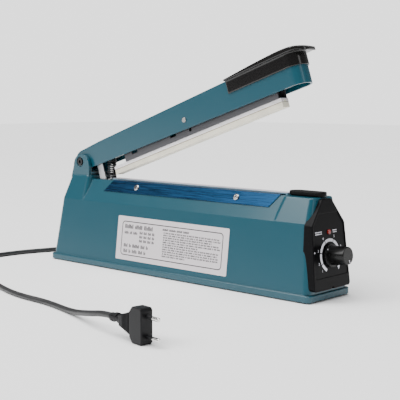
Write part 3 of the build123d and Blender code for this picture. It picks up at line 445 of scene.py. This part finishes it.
def make_plug():
    """Flat two-pin plug on its edge: slotted relief, ribbed grip and a wider front block."""
    face = frame_matrix(PLUG_TAIL, PLUG_ALONG, Vector((PLUG_ALONG.y, -PLUG_ALONG.x, 0)))
    section = frame_matrix(PLUG_TAIL, Vector((0, 0, 1)), PLUG_ALONG)
    front_half, grip_half, rib_half = 6.85 * MM, 5.8 * MM, 6.35 * MM
    relief, end = 20 * MM, 56 * MM
    front = [
        (36.5, -12.2), (41, -17.4), (54.2, -17.4), (56, -15),
        (56, 15), (54.2, 17.4), (41, 17.4), (36.5, 12.2),
    ]
    grip = [(17, -5.6), (25, -7.6), (33, -10.4), (40, -12.4), (40, 12.4), (33, 10.4), (25, 7.6), (17, 5.6)]
    block = plug_piece("plug_front", prism([in_mm(front)], 2 * front_half, -front_half), face)
    bevelled(block, 1.1 * MM)
    body = plug_piece("plug_grip", prism([in_mm(grip)], 2 * grip_half, -grip_half), face)
    bevelled(body, 1.6 * MM, 4)
    ribs = []
    for i in range(7):
        x = 23.5 + 2.1 * i
        reach = 6.2 + (x - 23.5) * 0.34
        ribs.append(in_mm([(x, -reach), (x + 1.0, -reach - 0.3), (x + 1.0, reach + 0.3), (x, reach)]))
    ribbing = plug_piece("plug_ribs", prism(ribs, 2 * rib_half, -rib_half), face)
    bevelled(ribbing, 0.3 * MM, 2)
    core = plug_piece("plug_relief_core", prism([arc(3.9 * MM, 0, 348, 29)], relief, 0), section)
    pieces = [block, body, ribbing, core]
    for i, (start, depth) in enumerate(((0.0, 4.6), (6.2, 4.6), (12.4, 5.4))):
        turn = 0 if i % 2 else 180
        collar = ring_segment(3.7 * MM, 5.0 * MM, turn - 128, turn + 128, 24)
        piece = plug_piece(f"plug_collar_{i + 1}", prism([collar], depth * MM, start * MM), section)
        bevelled(piece, 0.5 * MM, 2)
        pieces.append(piece)
        bridge = rectangle(-1.6 * MM, -4.8 * MM, 1.6 * MM, 4.8 * MM)
        bridging = prism([bridge], 2.0 * MM, (start + depth - 0.2) * MM)
        pieces.append(plug_piece(f"plug_bridge_{i + 1}", bridging, section))
    rim = [ring_segment(1.95 * MM, 3.2 * MM, 0, 350, 28)]
    for i, side in enumerate((-1, 1)):
        seat = section @ Matrix.Translation((side * 9.5 * MM, 0, 0))
        pieces.append(plug_piece(f"plug_pin_seat_{i + 1}", prism(rim, 0.7 * MM, end - 0.4 * MM), seat))
    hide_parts("plug_body")
    return pieces


plug_pieces = make_plug()
nurbs_length(cord)


# ---------------------------------------------------------------- return spring
def make_spring():
    """The return spring's coils, closed at both ends, built at one length; the real spring shortens as the arm
    comes down.
    """
    low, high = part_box("return_spring")
    centre = (low + high) / 2
    wire = 0.9 * MM
    radius = (high.x - low.x) / 2 - wire
    turns, per_turn = 18.5, 18
    data = bpy.data.curves.new("return_coils", "CURVE")
    data.dimensions = "3D"
    steps = int(turns * per_turn)
    spline = data.splines.new("POLY")
    spline.points.add(steps)
    height = high.z - low.z - 2 * wire
    closed = 1.0
    for i, point in enumerate(spline.points):
        turned = i / per_turn
        free = min(max((turned - closed) / (turns - 2 * closed), 0), 1)
        dead = min(turned, closed) + max(turned - (turns - closed), 0)
        rise = free * (height - 4 * wire * closed) + 2 * wire * dead
        angle = 2 * pi * turned
        point.co = (centre.x + radius * cos(angle), centre.y + radius * sin(angle), low.z + wire + rise, 1)
    data.bevel_depth, data.bevel_resolution = wire, 3
    data.use_fill_caps = True
    helper = bpy.data.objects.new("spring_helper", data)
    mesh = bpy.data.meshes.new_from_object(helper)
    bpy.data.objects.remove(helper)
    spring = link_mesh("return_coils", mesh, Matrix.Identity(4), "spring_steel", "base", edge_angle=80)
    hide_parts("return_spring")
    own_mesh(spring)


make_spring()


# ---------------------------------------------------------------- grip cap
def make_grip():
    """The grip cap with the soft edges of a gloss moulding and a slightly crowned top."""
    mesh = frame["nodes"]["grip_cap"].data.copy()
    to_arm = ARM.inverted()
    piece = bpy.data.objects.new("grip_shell", mesh)
    bpy.context.collection.objects.link(piece)
    remesh = piece.modifiers.new("remesh", "REMESH")
    remesh.mode, remesh.voxel_size = "VOXEL", 0.45 * MM
    soften = piece.modifiers.new("soften", "SMOOTH")
    soften.factor, soften.iterations = 0.5, 22
    bpy.context.view_layer.update()
    evaluated = piece.evaluated_get(bpy.context.evaluated_depsgraph_get())
    softened = bpy.data.meshes.new_from_object(evaluated)
    bpy.data.objects.remove(piece)
    lip_half, crown, brow = 19 * MM, 1.3 * MM, 21.5 * MM
    for v in softened.vertices:
        local = to_arm @ v.co
        if local.z > brow:
            local.z -= crown * (local.y / lip_half) ** 2 * min((local.z - brow) / (2 * MM), 1)
            v.co = ARM @ local
    grip = link_mesh("grip_shell", softened, Matrix.Identity(4), "black_gloss", "arm", edge_angle=180)
    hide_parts("grip_cap")


make_grip()


# ---------------------------------------------------------------- printing on the panel and label
PRINT = 0.12 * MM
FIELD = -0.8 * MM                 # the panel's recessed field, behind its front face
RING_STOPS = (245, 208, 166, 117, 65, 24)                # the ring's ends and the gaps in it, in degrees
NUMBER_ANGLES = {1: 224, 2: 199, 3: 162, 4: 120, 5: 65, 6: 22, 8: -32}


def make_panel_print():
    """White ring in segments round the knob, its numbers and a few plain marks."""
    segments = []
    for high, low in zip(RING_STOPS, RING_STOPS[1:]):
        segments.append(ring_segment(15.9 * MM, 19.2 * MM, high - 2, low + 2))
    marks = [
        arc(1.0 * MM, 0, 340, 17, (-29 * MM, 6 * MM)),
        [(12.5 * MM, -13.6 * MM), (17.6 * MM, -12.4 * MM), (14.6 * MM, -17.4 * MM)],
    ]
    for x0, count in ((-25.5, 5), (8.0, 3)):
        for i in range(count):
            left = x0 + 2.6 * i
            marks.append(rectangle(left * MM, 25.2 * MM, (left + 1.9) * MM, 26.2 * MM))
            marks.append(rectangle(left * MM, 27.4 * MM, (left + 1.9) * MM, 28.4 * MM))
    printed = prism(segments + marks, PRINT, FIELD)
    piece = link_mesh("dial_marks", printed, PANEL, "panel_print", "base", False)
    for number, angle in NUMBER_ANGLES.items():
        data = bpy.data.curves.new(f"dial_number_{number}", "FONT")
        data.body = str(number)
        data.size, data.extrude = 4.0 * MM, PRINT / 2
        data.align_x, data.align_y = "CENTER", "CENTER"
        helper = bpy.data.objects.new("number_helper", data)
        mesh = bpy.data.meshes.new_from_object(helper)
        bpy.data.objects.remove(helper)
        turned = radians(angle)
        place = Matrix.Translation((23 * MM * cos(turned), 23 * MM * sin(turned), FIELD + PRINT / 2))
        piece = link_mesh(f"dial_number_{number}", mesh, PANEL @ place, "panel_print", "base", False)


def make_knob_marks():
    """Pointer strokes on the knob's skirt and on its end."""
    skirt_face, knob_end = 3.3 * MM, 23.6 * MM
    stroke = rectangle(11.6 * MM, -0.55 * MM, 12.8 * MM, 0.55 * MM)
    end_stroke = rectangle(5.4 * MM, -0.6 * MM, 8.6 * MM, 0.6 * MM)
    for name, outline, height, turn in (
        ("knob_pointer", stroke, skirt_face, 140), ("knob_end_mark", end_stroke, knob_end, -75),
    ):
        turned = PANEL @ Matrix.Rotation(radians(turn), 4, "Z")
        piece = link_mesh(name, prism([outline], 0.1 * MM, height), turned, "panel_print", "knob", False)


def text_row(x, y, width, height, words):
    """A row that stands for small print: short upright strokes in groups, with no letters."""
    strokes, pitch = [], height * 0.42
    place, counts = x, list(words)
    while place < x + width:
        count = counts.pop(0)
        counts.append(count)
        for i in range(count):
            if place > x + width:
                break
            tall = height * (1.0 if (i + count) % 3 else 0.72)
            strokes.append(rectangle(place, y, place + pitch * 0.66, y + tall))
            place += pitch
        place += pitch * 1.4
    return strokes


def make_label_print():
    """The label's rounded border and its rows of small print."""
    low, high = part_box("rating_label")
    lean = atan(SIDE_DRAFT)
    outward = Vector((0, -cos(lean), sin(lean)))
    plane = frame_matrix((low + high) / 2 + outward * 0.15 * MM, Vector((1, 0, 0)), outward)
    half_x, half_y, radius, line = 88.5 * MM, 22.4 * MM, 5 * MM, 1.1 * MM
    pieces = [
        rectangle(-half_x + radius, half_y - line, half_x - radius, half_y),
        rectangle(-half_x + radius, -half_y, half_x - radius, -half_y + line),
        rectangle(-half_x, -half_y + radius, -half_x + line, half_y - radius),
        rectangle(half_x - line, -half_y + radius, half_x, half_y - radius),
    ]
    for sx, sy, start in ((1, 1, 0), (-1, 1, 90), (-1, -1, 180), (1, -1, 270)):
        corner = (sx * (half_x - radius), sy * (half_y - radius))
        outer = arc(radius, start, start + 90, 8, corner)
        inner = arc(radius - line, start + 90, start, 8, corner)
        pieces.append(outer + inner)
    left = -83 * MM
    pieces += text_row(left, 13.0 * MM, 54 * MM, 5.4 * MM, (7, 6))
    pieces += text_row(left, 5.8 * MM, 24 * MM, 3.6 * MM, (5, 3))
    for row in range(3):
        pieces += text_row(left + 28 * MM, (7.2 - 5.2 * row) * MM, 27 * MM, 3.4 * MM, (4, 4))
    pieces += text_row(left, -11.4 * MM, 48 * MM, 4.4 * MM, (4, 2, 7))
    pieces += text_row(left, -18.6 * MM, 44 * MM, 4.4 * MM, (4, 2, 5))
    pieces += text_row(-14 * MM, 15.8 * MM, 46 * MM, 2.6 * MM, (9, 11))
    for row in range(11):
        top = 12.2 - 2.95 * row
        width = (94, 96, 82, 94, 96, 60, 95, 92, 94, 95, 40)[row]
        words = ((3, 6, 4, 7), (8, 2, 5), (4, 4, 9, 3))[row % 3]
        pieces += text_row(-12 * MM, top * MM, width * MM, 1.9 * MM, words)
    piece = link_mesh("label_print", prism(pieces, 0.06 * MM, 0), plane, "label_ink", "base", False)


make_panel_print()
make_knob_marks()
make_label_print()


# ---------------------------------------------------------------- small details
def make_bond_line():
    """The adhesive edge that shows between the strip holder and the silicone pad."""
    pad_x0, pad_x1, bond = 52 * MM, 352 * MM, -26.8 * MM
    outline = rectangle(pad_x0, -6.6 * MM, pad_x1, 6.6 * MM)
    mesh = prism([outline], 0.5 * MM, bond - 0.5 * MM)
    piece = link_mesh("bond_line", mesh, ARM, "bond", "bar")


def make_screw_recesses():
    """Painted shade: flat black crosses on the cover strips' screws, standing for the shade in their cross
    recesses.
    """
    foot, crest = Vector((29.1, 87.0)) * MM, Vector((15.0, 115.6)) * MM     # a shoulder's ends, across and up
    lean = atan((foot.x - crest.x) / (crest.y - foot.y))
    seat_y, seat_z = foot.lerp(crest, 0.76)
    low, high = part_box("cover_screws")
    reach = 3.2 * MM
    for side, y in ((-1, low.y), (1, high.y)):
        outward = Vector((0, side * cos(lean), sin(lean)))
        for i, x in enumerate((low.x + 4 * MM, high.x - 4 * MM)):
            seat = Vector((x, side * seat_y, seat_z)) + outward * reach
            turn = Matrix.Rotation(radians(20 + 35 * i), 4, "Z")
            plane = frame_matrix(seat, Vector((1, 0, 0)), outward) @ turn
            # painted shade: a thin black cross laid on the screw head for the dark of its recess
            arms = [rectangle(-1.7 * MM, -0.32 * MM, 1.7 * MM, 0.32 * MM),
                    rectangle(-0.32 * MM, -1.7 * MM, 0.32 * MM, 1.7 * MM)]
            name = f"screw_cross_shade_{'near' if side < 0 else 'far'}_{i + 1}"
            piece = link_mesh(name, prism(arms, 0.05 * MM, 0), plane, "black_plastic", "base", False)


make_bond_line()
make_screw_recesses()


# ---------------------------------------------------------------- studio
def make_floor():
    mesh = bpy.data.meshes.new("floor")
    size = 6
    corners = [(x, y, 0) for x, y in rectangle(-size, -size, size, size)]
    mesh.from_pydata(corners, [], [(0, 1, 2, 3)])
    floor = bpy.data.objects.new("floor", mesh)
    bpy.context.collection.objects.link(floor)
    floor.location.z = -0.05 * MM
    surface = Surface("floor", (0.96, 0.96, 0.96), 0.8)
    surface.tint(surface.noise(3, 2), 0.004)
    mesh.materials.append(surface.material)


def make_softbox(name, place, target, size, power):
    light = bpy.data.lights.new(name, "AREA")
    light.shape = "RECTANGLE"
    light.size, light.size_y = size
    light.energy = power
    lamp = bpy.data.objects.new(name, light)
    lamp.location = place
    lamp.rotation_euler = (Vector(target) - Vector(place)).to_track_quat("-Z", "Y").to_euler()
    bpy.context.collection.objects.link(lamp)


def make_studio():
    """A dim surround for soft fill, a bright backdrop, a floor, a wide soft sun and two softboxes."""
    world = bpy.data.worlds.new("studio")
    bpy.context.scene.world = world
    world.use_nodes = True
    nodes, links = world.node_tree.nodes, world.node_tree.links
    fill = nodes["Background"]
    fill.inputs["Color"].default_value = (1, 1, 1, 1)
    fill.inputs["Strength"].default_value = 0.28
    backdrop = nodes.new("ShaderNodeBackground")
    backdrop.inputs["Strength"].default_value = 2.0
    backdrop.inputs["Color"].default_value = (1, 1, 1, 1)
    blend = nodes.new("ShaderNodeMixShader")
    links.new(nodes.new("ShaderNodeLightPath").outputs["Is Camera Ray"], blend.inputs["Fac"])
    links.new(fill.outputs["Background"], blend.inputs[1])
    links.new(backdrop.outputs["Background"], blend.inputs[2])
    links.new(blend.outputs["Shader"], nodes["World Output"].inputs["Surface"])
    make_floor()
    sky = bpy.data.lights.new("sky", "SUN")
    sky.energy, sky.angle = 5.5, radians(70)
    lamp = bpy.data.objects.new("sky", sky)
    lamp.rotation_euler = Vector((0.30, 0.55, -2)).to_track_quat("-Z", "Y").to_euler()
    bpy.context.collection.objects.link(lamp)
    make_softbox("key", (-0.9, -1.7, 1.3), (0, 0, 0.1), (1.0, 1.0), 20)
    make_softbox("front", (1.6, -0.2, 1.0), (0.1, 0, 0.1), (0.35, 1.2), 3)


make_studio()
